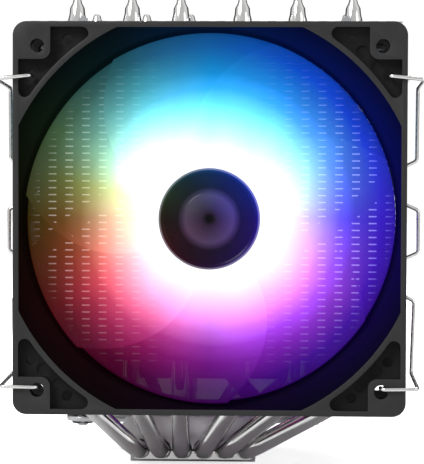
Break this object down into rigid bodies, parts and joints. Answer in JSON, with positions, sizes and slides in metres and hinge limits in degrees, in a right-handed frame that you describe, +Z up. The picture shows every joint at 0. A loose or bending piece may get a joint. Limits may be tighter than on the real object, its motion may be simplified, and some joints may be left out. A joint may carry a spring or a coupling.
{
  "type": "processor tower cooler",
  "caption": "Dual-tower processor cooler: plated base with U-shaped heatpipes through two aluminium fin stacks, and two lit axial fans held by wire clips.",
  "frame": {"origin": "centre of the cold plate's flat contact face, which sits on the processor", "axes": "+Z up, away from the processor, along the heatpipes' legs; -Y towards the front fan's intake, so air flows along +Y; +X towards the side to which the stacks are offset"},
  "size_m": [0.1328, 0.1375, 0.154],
  "materials": {
    "plated_copper": "nickel plate over copper, polished",
    "clamp_aluminium": "bead-blasted, nickel washed",
    "pipe_nickel": "bright nickel plate",
    "fin_aluminium": "bright rolled sheet",
    "bright_steel": "satin nickel plate",
    "dark_steel": "black oxide",
    "clip_wire": "bright drawn spring wire",
    "fan_frame_plastic": "fine satin moulding",
    "frosted_blade_plastic": "frosted translucent, lit from the hub",
    "hub_cap_plastic": "gloss black",
    "motor_copper": "enamelled windings on a laminated core",
    "bearing_bronze": "sintered, oiled",
    "magnet_ferrite": "bonded ferrite",
    "board_laminate": "solder-masked laminate"
  },
  "bodies": {
    "heatsink": {"base_plate": "plated_copper", "base_cap": "clamp_aluminium", "heatpipe_1": "pipe_nickel", "heatpipe_2": "pipe_nickel", "heatpipe_3": "pipe_nickel", "heatpipe_4": "pipe_nickel", "heatpipe_5": "pipe_nickel", "heatpipe_6": "pipe_nickel", "front_fin_stack": "fin_aluminium", "rear_fin_stack": "fin_aluminium", "crossbar": "bright_steel", "left_crossbar_screw": "bright_steel", "right_crossbar_screw": "bright_steel", "left_mounting_spring": "dark_steel", "right_mounting_spring": "dark_steel"},
    "left_screw_carrier": {"left_screw_washer": "bright_steel"},
    "left_screw": {"left_mounting_screw": "bright_steel", "left_screw_ring": "dark_steel"},
    "right_screw_carrier": {"right_screw_washer": "bright_steel"},
    "right_screw": {"right_mounting_screw": "bright_steel", "right_screw_ring": "dark_steel"},
    "front_fan": {"front_fan_frame": "fan_frame_plastic", "front_fan_stator": "motor_copper", "front_fan_bearing": "bearing_bronze", "front_fan_board": "board_laminate"},
    "front_rotor": {"front_fan_impeller": "frosted_blade_plastic", "front_fan_hub_cap": "hub_cap_plastic", "front_fan_yoke": "dark_steel", "front_fan_magnet": "magnet_ferrite", "front_fan_shaft": "bright_steel"},
    "front_left_clip": {"front_left_clip": "clip_wire"},
    "front_right_clip": {"front_right_clip": "clip_wire"},
    "middle_fan": {"middle_fan_frame": "fan_frame_plastic", "middle_fan_stator": "motor_copper", "middle_fan_bearing": "bearing_bronze", "middle_fan_board": "board_laminate"},
    "middle_rotor": {"middle_fan_impeller": "frosted_blade_plastic", "middle_fan_hub_cap": "hub_cap_plastic", "middle_fan_yoke": "dark_steel", "middle_fan_magnet": "magnet_ferrite", "middle_fan_shaft": "bright_steel"},
    "middle_left_clip": {"middle_left_clip": "clip_wire"},
    "middle_right_clip": {"middle_right_clip": "clip_wire"}
  },
  "joints": [
    {"name": "left_screw_press", "type": "slide", "parent": "heatsink", "child": "left_screw_carrier", "axis": [0, 0, -1], "range_m": [0, 0.0035], "stiffness_N_per_m": 1000, "springref_m": -0.001, "deforming": ["left_mounting_spring"]},
    {"name": "left_screw_turn", "type": "hinge", "parent": "left_screw_carrier", "child": "left_screw", "pos_m": [-0.039, 0, 0.0174], "axis": [0, 0, 1], "continuous": true},
    {"name": "right_screw_press", "type": "slide", "parent": "heatsink", "child": "right_screw_carrier", "axis": [0, 0, -1], "range_m": [0, 0.0035], "stiffness_N_per_m": 1000, "springref_m": -0.001, "deforming": ["right_mounting_spring"]},
    {"name": "right_screw_turn", "type": "hinge", "parent": "right_screw_carrier", "child": "right_screw", "pos_m": [0.039, 0, 0.0174], "axis": [0, 0, 1], "continuous": true},
    {"name": "front_fan_lift", "type": "slide", "parent": "heatsink", "child": "front_fan", "axis": [0, 0, 1], "range_m": [0, 0.02]},
    {"name": "front_rotor_spin", "type": "hinge", "parent": "front_fan", "child": "front_rotor", "pos_m": [0.0075, -0.071, 0.083], "axis": [0, 1, 0], "continuous": true},
    {"name": "front_left_clip_swing", "type": "hinge", "parent": "front_fan", "child": "front_left_clip", "pos_m": [-0.046, -0.0775, 0.07895], "axis": [-0.021, 0, 0.9998], "range_deg": [0, 12], "stiffness_Nm_per_rad": 0.15},
    {"name": "front_right_clip_swing", "type": "hinge", "parent": "front_fan", "child": "front_right_clip", "pos_m": [0.061, -0.0775, 0.07895], "axis": [-0.021, 0, -0.9998], "range_deg": [0, 12], "stiffness_Nm_per_rad": 0.15},
    {"name": "middle_fan_lift", "type": "slide", "parent": "heatsink", "child": "middle_fan", "axis": [0, 0, 1], "range_m": [0, 0.02]},
    {"name": "middle_rotor_spin", "type": "hinge", "parent": "middle_fan", "child": "middle_rotor", "pos_m": [0.0075, -0.0014, 0.087], "axis": [0, 1, 0], "continuous": true},
    {"name": "middle_left_clip_swing", "type": "hinge", "parent": "middle_fan", "child": "middle_left_clip", "pos_m": [-0.046, -0.0079, 0.08295], "axis": [-0.021, 0, 0.9998], "range_deg": [0, 12], "stiffness_Nm_per_rad": 0.15},
    {"name": "middle_right_clip_swing", "type": "hinge", "parent": "middle_fan", "child": "middle_right_clip", "pos_m": [0.061, -0.0079, 0.08295], "axis": [-0.021, 0, -0.9998], "range_deg": [0, 12], "stiffness_Nm_per_rad": 0.15}
  ]
}
